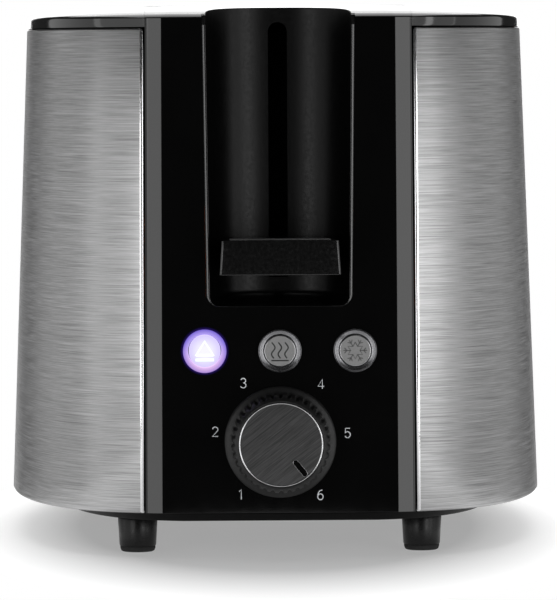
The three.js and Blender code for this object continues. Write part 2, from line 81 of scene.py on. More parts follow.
SCOOP_DEPTH = 22
SCOOP_BOTTOM = 86.9
SCOOP_POWER = 2.5
SCOOP_FRONT = -139.6
SCOOP_FILLET = 5.0
LIP_CORNER = 4.6
LIP_BASE = SCOOP_BOTTOM - 0.4 + LIP_CORNER
LIP_TOP = 184.0
SLIT_HALF = 3.3
SLIT_TOP = 181.7

KNOB_Z = 40
BUTTON_Z = 71.5
BUTTON_X = {"cancel": -26, "reheat": 0, "defrost": 26}
HANDLE_BOTTOM = 98.4
HANDLE_FRONT = -159
HANDLE_CORNER = 0.7
POINTER_REACH = 10.4
POINTER_AIM = -51
INLET_X = 30
INLET_Z = 46

ROOM_GLOW = 0.03
# FLOOR_REACH and FLOOR_NARROW shape the floor disc and the ellipse of its painted shadow
FLOOR_REACH = 0.3
FLOOR_NARROW = 0.4
CAMERA_SPOT = (-0.0279, FRONT - 1.75, 0.1731)
CAMERA_TILT = 2.75
CAMERA_YAW = -0.9
CAMERA_ROLL = -0.3


def place(x, y, z):
    """A point given in millimetres about the body's middle, as a Vector in metres."""
    return Vector((x * MM, MID_Y + y * MM, z * MM))


# ---------------------------------------------------------------- mesh helpers
def make(name, verts, faces, material, angle=35):
    mesh = bpy.data.meshes.new(name)
    mesh.from_pydata([tuple(v) for v in verts], [], faces)
    mesh.update()
    tidy = bmesh.new()
    tidy.from_mesh(mesh)
    bmesh.ops.remove_doubles(tidy, verts=tidy.verts, dist=1e-7)
    bmesh.ops.recalc_face_normals(tidy, faces=tidy.faces)
    tidy.to_mesh(mesh)
    tidy.free()
    obj = bpy.data.objects.new(name, mesh)
    bpy.context.collection.objects.link(obj)
    obj.data.materials.append(material)
    smooth(obj, angle)
    return obj


def smooth(obj, angle):
    obj.data.shade_smooth()
    obj.data.set_sharp_from_angle(angle=math.radians(angle))


def bake(obj, angle):
    """Applies the object's modifiers."""
    graph = bpy.context.evaluated_depsgraph_get()
    mesh = bpy.data.meshes.new_from_object(obj.evaluated_get(graph))
    obj.modifiers.clear()
    obj.data = mesh
    smooth(obj, angle)


def boolean(obj, cutter, operation="DIFFERENCE", angle=35):
    modifier = obj.modifiers.new("cut", "BOOLEAN")
    modifier.operation = operation
    modifier.object = cutter
    modifier.solver = "MANIFOLD"
    bake(obj, angle)
    bpy.data.objects.remove(cutter, do_unlink=True)


def bevel(obj, width, segments):
    modifier = obj.modifiers.new("edge", "BEVEL")
    modifier.width = width * MM
    modifier.segments = segments
    modifier.limit_method = "ANGLE"
    modifier.angle_limit = math.radians(40)
    bake(obj, 50)


def solidify(obj, thickness, offset):
    modifier = obj.modifiers.new("wall", "SOLIDIFY")
    modifier.thickness = thickness * MM
    modifier.offset = offset
    bake(obj, 35)


def skin(rings, closed=True, caps=True):
    """Vertices and faces through rows of points."""
    count = len(rings[0])
    verts = [point for ring in rings for point in ring]
    faces = []
    span = count if closed else count - 1
    for row in range(len(rings) - 1):
        for i in range(span):
            a = row * count + i
            b = row * count + (i + 1) % count
            faces.append((a, b, b + count, a + count))
    if caps:
        faces.append(tuple(range(count))[::-1])
        faces.append(tuple((len(rings) - 1) * count + i for i in range(count)))
    return verts, faces


def surface(name, rings, material, angle=35, closed=True, caps=True):
    verts, faces = skin(rings, closed, caps)
    return make(name, verts, faces, material, angle)


def block(name, low, high, material):
    corners = [place(x, y, z) for z in (low[2], high[2]) for x, y in
               ((low[0], low[1]), (high[0], low[1]), (high[0], high[1]), (low[0], high[1]))]
    faces = [(3, 2, 1, 0), (4, 5, 6, 7), (0, 1, 5, 4), (1, 2, 6, 5), (2, 3, 7, 6), (3, 0, 4, 7)]
    return make(name, corners, faces, material, 30)


def lathe(name, profile, spot, material, segments, angle, loop):
    """Sweeps [radius, level] pairs round an axis; spot places a point from two offsets and a level."""
    rings = []
    for radius, level in profile:
        ring = []
        for i in range(segments):
            turn = 2 * math.pi * i / segments
            ring.append(spot(radius * math.cos(turn), radius * math.sin(turn), level))
        rings.append(ring)
    if loop:
        rings.append(rings[0])
    return surface(name, rings, material, angle, caps=not loop)


def turned(name, x, z, profile, material, segments=96, angle=35, loop=False):
    """Turns [radius, y] pairs about a line along Y. A loop profile closes on itself."""
    return lathe(name, profile, lambda u, v, y: place(x + u, y, z + v), material, segments, angle, loop)


def upright(name, x, y, profile, material, segments=72, angle=35):
    """Turns [radius, z] pairs about a vertical line."""
    return lathe(name, profile, lambda u, v, z: place(x + u, y + v, z), material, segments, angle, False)


def tube(name, paths, radius, material, resolution, reshape=None):
    """A round wire along each path of points in metres. reshape gives each vertex its new place."""
    curve = bpy.data.curves.new(name, "CURVE")
    curve.dimensions = "3D"
    curve.bevel_depth = radius
    curve.bevel_resolution = resolution
    for path in paths:
        spline = curve.splines.new("POLY")
        spline.points.add(len(path) - 1)
        for point, spot in zip(spline.points, path):
            point.co = (*spot, 1)
    source = bpy.data.objects.new(name + "_path", curve)
    bpy.context.collection.objects.link(source)
    graph = bpy.context.evaluated_depsgraph_get()
    mesh = bpy.data.meshes.new_from_object(source.evaluated_get(graph))
    bpy.data.objects.remove(source, do_unlink=True)
    if reshape:
        for vertex in mesh.vertices:
            vertex.co = reshape(vertex.co)
    obj = bpy.data.objects.new(name, mesh)
    bpy.context.collection.objects.link(obj)
    obj.data.materials.append(material)
    return obj


def stroke(name, lines, y, width, material, depth):
    """Flat ribbons along lines of (x, z) points, standing on the plane y."""
    def flatten(spot):
        return Vector((spot.x, MID_Y + y * MM + spot.y * depth / width, spot.z))

    paths = [[(x * MM, 0, z * MM) for x, z in line] for line in lines]
    obj = tube(name, paths, width / 2 * MM, material, 2, flatten)
    smooth(obj, 60)
    return obj


def arc(cx, cy, wide, high, start, end, steps=16):
    """Points along an ellipse's arc, between two angles in degrees."""
    points = []
    for i in range(steps + 1):
        turn = math.radians(start + (end - start) * i / steps)
        points.append((cx + wide * math.cos(turn), cy + high * math.sin(turn)))
    return points


def halve(low, high, is_high):
    """The lowest value between two for which is_high holds."""
    for _ in range(24):
        middle = (low + high) / 2
        if is_high(middle):
            high = middle
        else:
            low = middle
    return high


def finish_piece(obj, body, slot, *nodes):
    """Puts a piece on its body, and in place of the CAD nodes that it stands for."""
    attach(obj, body)
    if nodes:
        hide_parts(*nodes)


# ---------------------------------------------------------------- materials
class Nodes:
    """A small wrapper that keeps material code short."""

    def __init__(self, name):
        self.material = bpy.data.materials.new(name)
        self.material.use_nodes = True
        self.tree = self.material.node_tree
        self.shader = self.tree.nodes["Principled BSDF"]
        coords = self.new("TexCoord")
        self.coords = coords.outputs["Object"]

    def new(self, kind):
        return self.tree.nodes.new("ShaderNode" + kind)

    def set(self, **values):
        names = {"metallic": "Metallic", "rough": "Roughness", "specular": "Specular IOR Level",
                 "aniso": "Anisotropic", "glow": "Emission Strength"}
        for key, value in values.items():
            self.shader.inputs[names[key]].default_value = value

    def link(self, output, socket):
        self.tree.links.new(output, socket)

    def noise(self, scale, detail=3, rough=0.5, turn=(0, 0, 0)):
        source = self.coords
        if any(turn):
            spin = self.new("Mapping")
            spin.inputs["Rotation"].default_value = turn
            self.link(source, spin.inputs["Vector"])
            source = spin.outputs["Vector"]
        mapping = self.new("Mapping")
        mapping.inputs["Scale"].default_value = scale
        self.link(source, mapping.inputs["Vector"])
        noise = self.new("TexNoise")
        noise.inputs["Scale"].default_value = 1
        noise.inputs["Detail"].default_value = detail
        noise.inputs["Roughness"].default_value = rough
        self.link(mapping.outputs["Vector"], noise.inputs["Vector"])
        return noise.outputs["Fac"]

    def ramp(self, value, low, high, start=0.3, end=0.7):
        span = self.new("MapRange")
        span.inputs["From Min"].default_value = start
        span.inputs["From Max"].default_value = end
        span.inputs["To Min"].default_value = low
        span.inputs["To Max"].default_value = high
        self.link(value, span.inputs["Value"])
        return span.outputs["Result"]

    def tint(self, value, low, high, start=0.3, end=0.7):
        ramp = self.new("ValToRGB")
        ramp.color_ramp.elements[0].position = start
        ramp.color_ramp.elements[1].position = end
        ramp.color_ramp.elements[0].color = (*low, 1)
        ramp.color_ramp.elements[1].color = (*high, 1)
        self.link(value, ramp.inputs["Fac"])
        return ramp.outputs["Color"]

    def mix(self, a, b, factor):
        mix = self.new("Mix")
        mix.inputs["Factor"].default_value = factor
        self.link(a, mix.inputs["A"])
        self.link(b, mix.inputs["B"])
        return mix.outputs["Result"]

    def color(self, output):
        self.link(output, self.shader.inputs["Base Color"])

    def rough(self, output):
        self.link(output, self.shader.inputs["Roughness"])

    def bump(self, height, strength, distance):
        bump = self.new("Bump")
        bump.inputs["Strength"].default_value = strength
        bump.inputs["Distance"].default_value = distance * MM
        self.link(height, bump.inputs["Height"])
        self.link(bump.outputs["Normal"], self.shader.inputs["Normal"])

    def vector(self, operation, source, by=None):
        node = self.new("VectorMath")
        node.operation = operation
        self.link(source, node.inputs[0])
        if by:
            node.inputs[1].default_value = by
        return node.outputs["Value" if operation == "LENGTH" else "Vector"]


def gloss_black(name, tone, low, high, specular=0.5):
    n = Nodes(name)
    haze = n.noise((60, 60, 60), 4)
    n.color(n.tint(haze, (tone, tone, tone * 1.05), (tone * 1.6,) * 3))
    n.rough(n.ramp(n.noise((220, 220, 220), 5, 0.7), low, high))
    n.bump(n.noise((25, 25, 25), 2), 0.05, 0.05)
    n.set(specular=specular)
    return n.material


def satin_black(name, tone, rough, grain, strength, specular=0.5):
    n = Nodes(name)
    fine = n.noise((grain, grain, grain), 2)
    n.color(n.tint(n.noise((400, 400, 400), 4), (tone * 0.8,) * 3, (tone * 1.3,) * 3))
    n.rough(n.ramp(n.noise((900, 900, 900), 3), rough - 0.05, rough + 0.06))
    n.bump(fine, strength, 0.03)
    n.set(specular=specular)
    return n.material


def brushed(name, low, high, rough, along, across, strength, tilt=0.0, aniso=0.0):
    """Metal with long fine streaks, tilted about Y: low and high are its darkest and lightest tones."""
    n = Nodes(name)
    turn = (0, math.radians(tilt), 0)
    fine = n.noise((along[0], along[1], across), 5, 0.65, turn)
    long = n.noise((along[0] * 0.4, along[1] * 0.4, across * 1.6), 4, 0.6, turn)
    both = n.mix(fine, long, 0.25)
    n.color(n.tint(both, (low,) * 3, (high, high, high * 1.01), 0.38, 0.62))
    n.rough(n.ramp(both, rough - 0.03, rough + 0.04, 0.38, 0.62))
    n.bump(fine, strength, 0.02)
    n.set(metallic=1.0, aniso=aniso)
    return n.material


def plain_metal(name, tone, rough, scale=500, spread=0.12):
    n = Nodes(name)
    value = n.noise((scale, scale, scale), 4)
    dark = tuple(c * (1 - spread) for c in tone)
    light = tuple(min(1, c * (1 + spread)) for c in tone)
    n.color(n.tint(value, dark, light))
    n.rough(n.ramp(n.noise((scale * 3,) * 3, 3), rough - 0.06, rough + 0.08))
    n.bump(value, 0.06, 0.02)
    n.set(metallic=1.0)
    return n.material


def dull(name, dark, light, rough, scale, strength):
    n = Nodes(name)
    value = n.noise((scale,) * 3, 5)
    n.color(n.tint(value, dark, light))
    n.rough(n.ramp(n.noise((scale * 2,) * 3, 3), rough - 0.06, rough + 0.06))
    n.bump(value, strength, 0.05)
    return n.material


GLOSS = gloss_black("gloss_black_panel", 0.0012, 0.05, 0.08)
GLOSS_TOP = gloss_black("gloss_black_cap", 0.003, 0.07, 0.12, 0.9)
CHANNEL = satin_black("channel_satin", 0.0015, 0.33, 3000, 0.3, 0.22)
CHANNEL_LIP = satin_black("channel_lip", 0.01, 0.12, 2600, 0.02, 0.8)
HANDLE = satin_black("handle_black", 0.002, 0.18, 2200, 0.01, 0.9)
BASE_BLACK = satin_black("base_black", 0.003, 0.4, 1800, 0.2, 0.12)
FOOT_BLACK = satin_black("foot_black", 0.003, 0.3, 1500, 0.1, 0.35)
STEEL = brushed("brushed_side", 0.29, 0.6, 0.34, (48, 48), 4300, 0.12, aniso=0.5)
# partly painted highlight: the bend is real and catches the lamps, and this brighter, smoother metal makes
# it a bright line
STEEL_BEND_HIGHLIGHT = plain_metal("painted_highlight_bend", (0.86, 0.86, 0.87), 0.14, 900, 0.05)
KNOB_BLACK = satin_black("knob_black", 0.009, 0.4, 2000, 0.12, 0.4)
KNOB_METAL = brushed("knob_metal", 0.07, 0.15, 0.36, (110, 110), 4200, 0.15, tilt=38)
RIM_METAL = plain_metal("knob_rim", (0.75, 0.75, 0.76), 0.16)
CAP_EDGE = plain_metal("cap_edge", (0.5, 0.5, 0.51), 0.2, 1500, 0.05)
BEZEL_METAL = plain_metal("bezel_metal", (0.25, 0.25, 0.26), 0.26, 1200, 0.06)
CAP_METAL = dull("button_satin", (0.26, 0.26, 0.26), (0.32, 0.32, 0.32), 0.42, 2600, 0.1)
ICON_DARK = dull("icon_dark", (0.008, 0.008, 0.008), (0.014, 0.014, 0.014), 0.5, 900, 0.05)
ICON_GREY = dull("icon_grey", (0.06, 0.06, 0.06), (0.08, 0.08, 0.08), 0.5, 900, 0.05)
POINTER_BLACK = satin_black("pointer_black", 0.0008, 0.6, 1500, 0.05, 0.05)
# painted sheen: the grey of the strip on the lever's top face
PAD_PAINTED_SHEEN = satin_black("painted_sheen_grey", 0.09, 0.55, 1500, 0.1)
DIGIT_PAINT = dull("digit_paint", (0.8, 0.83, 0.86), (0.88, 0.9, 0.93), 0.5, 2500, 0.05)
RUBBER = dull("pad_rubber", (0.012, 0.012, 0.012), (0.025, 0.025, 0.025), 0.85, 900, 0.4)
WIRE = plain_metal("plated_wire", (0.66, 0.66, 0.68), 0.22, 900, 0.08)
SHEET = plain_metal("plated_sheet", (0.52, 0.52, 0.53), 0.34, 260, 0.12)
TRAY = brushed("tray_sheet", 0.38, 0.5, 0.36, (900, 12), 12, 0.05)
MICA = dull("mica_card", (0.36, 0.26, 0.14), (0.55, 0.44, 0.27), 0.5, 160, 0.3)
COPPER = plain_metal("winding_copper", (0.72, 0.3, 0.14), 0.3, 1400, 0.2)
BOARD = dull("circuit_board", (0.01, 0.09, 0.035), (0.02, 0.16, 0.06), 0.4, 500, 0.1)
DARK_PART = satin_black("dark_part", 0.02, 0.5, 1600, 0.2)
# painted shade: near-black sheet, so that inner parts seen through the lever slit read dark
SLIT_SHADE_SHEET = satin_black("painted_shade_sheet", 0.003, 0.55, 700, 0.2, 0.3)


def heated(name):
    n = Nodes(name)
    value = n.noise((120, 120, 120), 2)
    n.link(n.tint(value, (1.0, 0.13, 0.02), (1.0, 0.3, 0.06)), n.shader.inputs["Emission Color"])
    n.color(n.tint(value, (0.3, 0.1, 0.05), (0.45, 0.16, 0.08)))
    n.set(glow=1.2, rough=0.5)
    return n.material


def lit(name, inner, outer, strength, near, far, warm=None, base=0.02, rough=0.35):
    """Light through the cancel button: tinted from a near radius to a far one, warmer lower down."""
    n = Nodes(name)
    centre = place(BUTTON_X["cancel"], 0, BUTTON_Z)
    shift = n.vector("SUBTRACT", n.coords, (centre.x, 0, centre.z))
    flat = n.vector("MULTIPLY", shift, (1, 0, 1))
    share = n.ramp(n.vector("LENGTH", flat), 0, 1, near * MM, far * MM)
    glow = n.tint(share, inner, outer, 0.0, 1.0)
    if warm:
        axes = n.new("SeparateXYZ")
        n.link(flat, axes.inputs[0])
        low = n.tint(n.ramp(axes.outputs["Z"], 1, 0, -7 * MM, 3 * MM), (1, 1, 1), warm, 0.0, 1.0)
        blend = n.new("Mix")
        blend.data_type = "RGBA"
        blend.blend_type = "MULTIPLY"
        blend.inputs["Factor"].default_value = 1
        n.link(glow, blend.inputs["A"])
        n.link(low, blend.inputs["B"])
        glow = blend.outputs["Result"]
    n.link(glow, n.shader.inputs["Emission Color"])
    n.color(n.tint(n.noise((900, 900, 900), 3), (base, base, base), (base * 1.5, base * 1.5, base * 1.6)))
    n.rough(n.ramp(n.noise((1500, 1500, 1500), 3), rough * 0.85, rough * 1.15))
    n.set(glow=strength)
    return n.material


RIBBON = heated("hot_ribbon")
CAP_LIT = lit("cap_lit", (0.93, 0.92, 1.0), (0.66, 0.58, 0.98), 1.0, 1.5, 5.6)
RING_LIT = lit("ring_lit", (0.4, 0.3, 0.86), (0.08, 0.045, 0.5), 1.0, 5.9, 8.1, (2.0, 1.75, 1.0))
ICON_LIT = lit("icon_lit", (0.9, 1.0, 1.0), (0.86, 1.0, 1.0), 1.2, 1.0, 4.0)
HALO = lit("lit_halo", (0.014, 0.005, 0.1), (0.0, 0.0, 0.0), 1.0, 7.5, 8.4, None, 0.0012, 0.065)


# ---------------------------------------------------------------- body outline
def outline_y(x, inset=0.0):
    """Half length of the body where it is x from the middle line."""
    share = min(abs(x) / (HALF_WIDTH - inset), 1.0)
    bowed = BOW_LENGTH * (1 - share ** SIDE_POWER) ** (1 / END_POWER)
    return min(bowed, HALF_LENGTH) * (1 - inset / HALF_LENGTH)


def leaned(x, z):
    share = x / HALF_WIDTH
    return x * (1 - LEAN * share * share * (z - SKIRT_Z) / (GROOVE_Z - SKIRT_Z))


def outline(count, inset=0.0):
    """The body's plan as evenly spaced points, anticlockwise from the right side."""
    fine = []
    for i in range(2400):
        turn = 2 * math.pi * i / 2400
        x = math.copysign(abs(math.cos(turn)) ** (2 / SIDE_POWER), math.cos(turn))
        y = math.copysign(abs(math.sin(turn)) ** (2 / END_POWER), math.sin(turn))
        y = max(-HALF_LENGTH, min(HALF_LENGTH, BOW_LENGTH * y))
        fine.append(((HALF_WIDTH - inset) * x, y * (1 - inset / HALF_LENGTH)))
    return resample(fine, count, closed=True)


def resample(points, count, closed):
    path = points + [points[0]] if closed else points
    steps = [0.0]
    for a, b in zip(path, path[1:]):
        steps.append(steps[-1] + math.dist(a, b))
    wanted = [steps[-1] * i / (count if closed else count - 1) for i in range(count)]
    result = []
    at = 0
    for target in wanted:
        while at < len(path) - 2 and steps[at + 1] < target:
            at += 1
        span = steps[at + 1] - steps[at] or 1
        share = (target - steps[at]) / span
        result.append(tuple(a + (b - a) * share for a, b in zip(path[at], path[at + 1])))
    return result


def crown_z(scale):
    return BAND_Z + CROWN_RISE * math.sqrt(max(0.0, 1 - scale ** 5))


# ---------------------------------------------------------------- housing pieces
def side_shell(side, name):
    """A bent sheet: flange, bend, long wrap round the side, bend, flange."""
    edge = PANEL_HALF - 0.05
    corner_y = outline_y(edge)
    radius = 1.6
    front = []
    for i in range(7):
        front.append((edge, -133.5 - (corner_y - radius - 133.5) * i / 6))
    start = (edge, -corner_y + radius)
    knee = (edge, -corner_y)
    end = (edge + radius, -outline_y(edge + radius))
    for i in range(1, 9):
        t = i / 9
        weights = ((1 - t) ** 2, 2 * t * (1 - t), t * t)
        front.append(tuple(sum(w * c for w, c in zip(weights, axis)) for axis in zip(start, knee, end)))
    wrap = []
    for i in range(1200):
        share = i / 1199
        turn = math.acos(((edge + radius) / HALF_WIDTH) ** (SIDE_POWER / 2)) * (1 - 2 * share)
        x = HALF_WIDTH * math.cos(turn) ** (2 / SIDE_POWER)
        wrap.append((x, -math.copysign(outline_y(x), turn) if abs(turn) > 1e-9 else 0.0))
    middle = resample(wrap, 220, closed=False)
    path = front + middle + [(x, -y) for x, y in reversed(front)]
    normals = []
    for i, point in enumerate(path):
        before = path[max(i - 1, 0)]
        after = path[min(i + 1, len(path) - 1)]
        dx, dy = after[0] - before[0], after[1] - before[1]
        size = math.hypot(dx, dy) or 1
        normals.append((dy / size, -dx / size))
    last = len(path) - 1

    def row(z, inward):
        ring = []
        for i, ((x, y), (nx, ny)) in enumerate(zip(path, normals)):
            near = min(i, last - i)
            drop = (1 - max(near - 7, 0) / 9) ** 2 if near < 16 else 0.0
            height = z - drop if z > 100 else z
            ring.append(place(side * leaned(x - nx * inward, z), y - ny * inward, height))
        return ring

    outer = [(SKIRT_Z, 0.5), (SKIRT_Z + 0.12, 0.2), (SKIRT_Z + 0.45, 0.0), (100, 0.0)]
    outer += [(GROOVE_Z - 0.6, 0.0), (GROOVE_Z - 0.15, 0.18), (GROOVE_Z, 0.5)]
    rows = [row(z, inward) for z, inward in outer]
    rows += [row(z, 1.0) for z in (GROOVE_Z - 0.1, 100, SKIRT_Z + 0.1)]
    count = len(path)
    rows.append(rows[0])
    verts, faces = skin(rows, closed=False, caps=False)
    total = len(rows) - 1
    for end in (0, count - 1):
        faces.append(tuple(r * count + end for r in range(total)))
    obj = make(name, verts, faces, STEEL, 60)
    # partly painted highlight: the bend's faces get brighter metal than the brushed side
    obj.data.materials.append(STEEL_BEND_HIGHLIGHT)
    for face in obj.data.polygons:
        if abs(face.center.x) < (edge + 1.3) * MM:
            face.material_index = 1
    finish_piece(obj, "housing", "brushed_steel", name)


def cap_rings(count, inset=0.0, drop=0.0):
    base = outline(count, inset)
    rows = []
    band = ((GROOVE_Z + 0.3, 0.45), (GROOVE_Z + 0.45, 0.12), (GROOVE_Z + 0.9, 0.0), (BAND_Z - 0.4, 0.0))
    for z, tuck in band:
        rows.append([place(leaned(x, z) * (1 - tuck / 95), y * (1 - tuck / HALF_LENGTH), z - drop)
                     for x, y in base])
    for i in range(CROWN_STEPS + 1):
        scale = 1 - (i / CROWN_STEPS) ** 1.9 * 0.93
        z = crown_z(scale)
        rows.append([place(leaned(x, BAND_Z) * scale, y * scale, z - drop) for x, y in base])
    return rows


def top_cover():
    cap = surface("top_cover", cap_rings(300), GLOSS_TOP, 30)
    inner = surface("inner", cap_rings(96, CAP_WALL, CAP_WALL), GLOSS_TOP)
    inner.data.transform(Matrix.Translation((0, 0, -0.4 * MM)))
    boolean(cap, inner, angle=30)
    for side in (-1, 1):
        boolean(cap, rounded_slot(side, 0.6, 150, 210), angle=30)
    half = leaned(PANEL_EDGE, BAND_Z) + 0.06
    notch = block("notch", (-half, -160, 150), (half, 0.15 - PANEL_REAR, 210), GLOSS_TOP)
    boolean(cap, notch, angle=30)
    finish_piece(cap, "housing", "gloss_black", "top_cover")
    for side, word in ((-1, "left"), (1, "right")):
        finish_piece(slot_rim(side, "slot_rim_" + word), "housing", "gloss_black")


def slot_path(side, grow, corner):
    """A rounded oblong round a bread slot, with extra points along its straight sides."""
    x0, x1 = side * SLOT_X - SLOT_HALF - grow + corner, side * SLOT_X + SLOT_HALF + grow - corner
    y0, y1 = SLOT_FRONT - grow + corner, SLOT_REAR + grow - corner
    path = []
    for cx, cy, start in ((x1, y1, 0), (x0, y1, 90), (x0, y0, 180), (x1, y0, 270)):
        path += arc(cx, cy, corner, corner, start, start + 90, 8)
    dense = []
    for a, b in zip(path, path[1:] + path[:1]):
        pieces = 14 if math.dist(a, b) > 10 else 1
        for k in range(pieces):
            dense.append((a[0] + (b[0] - a[0]) * k / pieces, a[1] + (b[1] - a[1]) * k / pieces))
    return dense


def rounded_slot(side, grow, low, high):
    path = slot_path(side, grow, 3.6)
    return surface("slot_cut", [[place(x, y, z) for x, y in path] for z in (low, high)], GLOSS_TOP)


def cap_height(x, y):
    """Height of the crowned cap over a plan point."""
    def inside(scale):
        across = abs(x) / scale
        return across < CROWN_HALF and abs(y) / scale <= outline_y(across * HALF_WIDTH / CROWN_HALF)

    return crown_z(halve(0.02, 1.0, inside))


def slot_rim(side, name):
    """A rolled lip round a bread slot that runs down into the chamber."""
    section = [(1.1, -0.6), (1.1, 0.0), (0.85, 0.3), (0.3, 0.42), (-0.35, 0.3), (-0.8, -0.2),
               (-1.0, -1.0), (-1.0, -12.0), (0.6, -12.0)]
    highest = 191.15
    rings = []
    for out, up in section:
        path = slot_path(side, out, 3.0 + out * 0.5)
        rings.append([place(x, y, min(cap_height(x, y) + up, highest)) for x, y in path])
    rings.append(rings[0])
    return surface(name, rings, GLOSS_TOP, 40, caps=False)


def return_scale(x):
    """How far the panel's top runs in over the crown, as a share of the outline."""
    return halve(0.5, 1.0, lambda scale: scale * outline_y(x / scale) > PANEL_REAR)


def front_panel():
    edge = PANEL_EDGE
    xs = [-edge, -edge + 0.25, -edge + 0.6]
    xs += [-46 + i * 0.5 for i in range(0, 15)]
    xs += [-38 + i * 2 for i in range(0, 20)]
    xs = sorted(set(round(x, 3) for x in xs + [-x for x in xs]))
    rows = []

    def tuck(x):
        near = edge - abs(x)
        return 0.12 * max(0.0, 1 - near / 0.6) ** 2

    for z in (SKIRT_Z, SKIRT_Z + 0.12, SKIRT_Z + 0.3, 60, 120, BAND_Z - 1.5, BAND_Z - 0.5):
        lift = 0.12 if z == SKIRT_Z else 0
        rows.append([place(leaned(x, z), -outline_y(x) + tuck(x) + lift, z) for x in xs])
    for i in range(20):
        row = []
        for x in xs:
            scale = 1 - (i / 19) ** 1.7 * (1 - return_scale(x))
            y = -scale * outline_y(x / scale) + tuck(x) * scale ** 40
            row.append(place(leaned(x, BAND_Z), y, crown_z(scale)))
        rows.append(row)
    panel = surface("front_panel", rows, GLOSS, 20, closed=False, caps=False)
    solidify(panel, PANEL_WALL, wall_side(panel))
    boolean(panel, mouth_cutter(0.05), angle=20)
    boolean(panel, scoop_cutter(), angle=20)
    for x in BUTTON_X.values():
        hole = turned("hole", x, BUTTON_Z, [(6.6, -150), (6.6, -130)], GLOSS, 64)
        boolean(panel, hole, angle=20)
    boolean(panel, turned("hole", 0, KNOB_Z, [(4, -150), (4, -130)], GLOSS, 48), angle=20)
    finish_piece(panel, "housing", "gloss_black", "front_panel")


def wall_side(obj, reach=1.0):
    """Solidify offset that thickens a front sheet backwards, judged from its faces near the middle line."""
    faces = [face for face in obj.data.polygons if abs(face.center.x) < reach]
    return -1 if sum(face.normal.y * face.area for face in faces) < 0 else 1


def scoop_half(z):
    """Half width of the lever channel inside its lip."""
    return 24.05 + (z - SCOOP_BOTTOM) * 1.15 / 100


def scoop_size(z):
    """Half width and depth of the channel at a height: the foot is rounded both ways."""
    rise = max(0.0, z - SCOOP_BOTTOM)
    half = scoop_half(z)
    depth = SCOOP_DEPTH
    corner = LIP_CORNER - 1.1
    if rise < corner:
        half -= corner - math.sqrt(corner ** 2 - (corner - rise) ** 2)
    if rise < SCOOP_FILLET:
        depth *= (1 - (1 - rise / SCOOP_FILLET) ** 2.4) ** (1 / 2.4)
    return half, max(depth, 0.2)


def scoop_levels():
    """Heights of the lining's rows, closer together in its foot."""
    return [SCOOP_BOTTOM + 5.5 * (i / 22) ** 1.9 for i in range(23)] + [96, 104, 115, 130, 150]


def scoop_row(z, grow=0.0):
    """The channel's wall at a height, from its right edge round the back to its left edge."""
    half, depth = scoop_size(z)
    row = []
    for i in range(65):
        turn = math.pi * i / 64
        x = (half + grow) * math.copysign(abs(math.cos(turn)) ** (2 / SCOOP_POWER), math.cos(turn))
        y = (depth + grow) * math.sin(turn) ** (2 / SCOOP_POWER)
        row.append((x, y + SCOOP_FRONT))
    return row


def lip_path(inward=0.0):
    """The U of the channel's mouth from the top left down, along and up, moved inwards."""
    def moved(x, z, nx, nz):
        wide = (0.4 + 0.9 * abs(nx) ** 3) * inward
        return x - nx * wide, z - nz * wide

    left = []
    for i in range(20):
        z = LIP_TOP - (LIP_TOP - LIP_BASE) * i / 20
        left.append(moved(-(scoop_half(z) + 1.3), z, -1, 0))
    cx = -(scoop_half(LIP_BASE) + 1.3 - LIP_CORNER)
    for nx, nz in arc(0, 0, 1, 1, 180, 270, 14):
        left.append(moved(cx + LIP_CORNER * nx, LIP_BASE + LIP_CORNER * nz, nx, nz))
    return left + [(-x, z) for x, z in reversed(left)]


def mouth_cutter(grow):
    """A straight prism through the panel along the lip's outer line."""
    path = [(x + math.copysign(grow, x), z - (grow if z < 100 else 0)) for x, z in lip_path()]
    path = [(path[0][0], 215)] + path + [(path[-1][0], 215)]
    return surface("mouth_cut", [[place(x, y, z) for x, z in path] for y in (-152, -137.3)], CHANNEL)


def scoop_cutter():
    """The rounded notch that the channel makes in the panel's top."""
    path = scoop_row(188, 0.1)
    path += [(-path[0][0], -141), (path[0][0], -141)]
    return surface("scoop_cut", [[place(x, y, z) for x, y in path] for z in (150, 215)], CHANNEL)


def lever_channel():
    """The concave satin lining, ending under the crown, and the bevelled lip round its mouth."""
    rows = [[place(x, y, z) for x, y in scoop_row(z)] for z in scoop_levels()]
    top = [(x, y, cap_height(x, max(y, -138.4)) - 0.12) for x, y in scoop_row(188)]
    last = scoop_row(150)
    for k in range(1, 9):
        rows.append([place(x0 + (x1 - x0) * k / 8, y0 + (y1 - y0) * k / 8, 150 + (z1 - 150) * k / 8)
                     for (x0, y0), (x1, y1, z1) in zip(last, top)])
    lining = surface("lever_channel", rows, CHANNEL, 40, closed=False, caps=False)
    solidify(lining, 1.3, wall_side(lining, 0.01))
    boolean(lining, slit_cutter(), angle=40)
    finish_piece(lining, "housing", "satin_black", "lever_channel")

    section = [(0.0, -139.2), (0.0, -139.62), (0.06, -139.69), (0.88, -139.99), (0.95, -139.97),
               (1.0, -139.85), (1.0, -138.6), (0.0, -138.6)]
    rings = []
    for inward, y in section:
        rings.append([place(x, y, z) for x, z in lip_path(inward)])
    rings.append(rings[0])
    lip = surface("channel_lip", rings, CHANNEL_LIP, 50, closed=False, caps=False)
    finish_piece(lip, "housing", "satin_black")


def slit_cutter():
    path = [(-SLIT_HALF, 96), (SLIT_HALF, 96)] + arc(0, SLIT_TOP, SLIT_HALF, SLIT_HALF, 0, 180)
    return surface("slit", [[place(x, y, z) for x, z in path] for y in (-125, -110)], CHANNEL)


